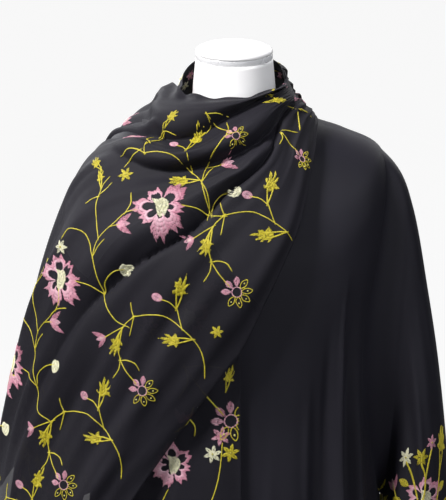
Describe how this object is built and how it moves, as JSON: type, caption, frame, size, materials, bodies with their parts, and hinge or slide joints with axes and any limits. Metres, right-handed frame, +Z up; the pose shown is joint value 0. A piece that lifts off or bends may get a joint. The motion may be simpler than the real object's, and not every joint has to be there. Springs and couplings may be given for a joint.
{
  "type": "abaya cloak with its shayla on a dress form",
  "caption": "Floor-length black abaya with wide sleeves and a matching embroidered shayla wound over one shoulder, on a limbless dress form with a round foot.",
  "frame": {"origin": "centre of the underside of the stand's round foot, on the floor", "axes": "+Z up along the pole; -Y out of the garment's front; +X towards the wearer's left"},
  "size_m": [0.8484, 0.5513, 1.5272],
  "materials": {
    "black_crepe": "matte crepe",
    "black_georgette": "sheer georgette",
    "form_white": "satin white",
    "neck_metal": "polished",
    "stand_metal": "satin white"
  },
  "bodies": {
    "root": {"abaya_front": "black_crepe", "abaya_back": "black_crepe", "sleeve_left": "black_crepe", "sleeve_right": "black_crepe", "neck_binding": "black_crepe", "shayla_front_drape": "black_georgette", "shayla_neck_loop": "black_georgette", "shayla_hanging_end": "black_georgette", "form_body": "form_white", "neck_cap": "form_white", "neck_ring": "neck_metal", "stand_flange": "stand_metal", "stand_pole": "stand_metal", "stand_foot": "stand_metal"}
  },
  "joints": []
}
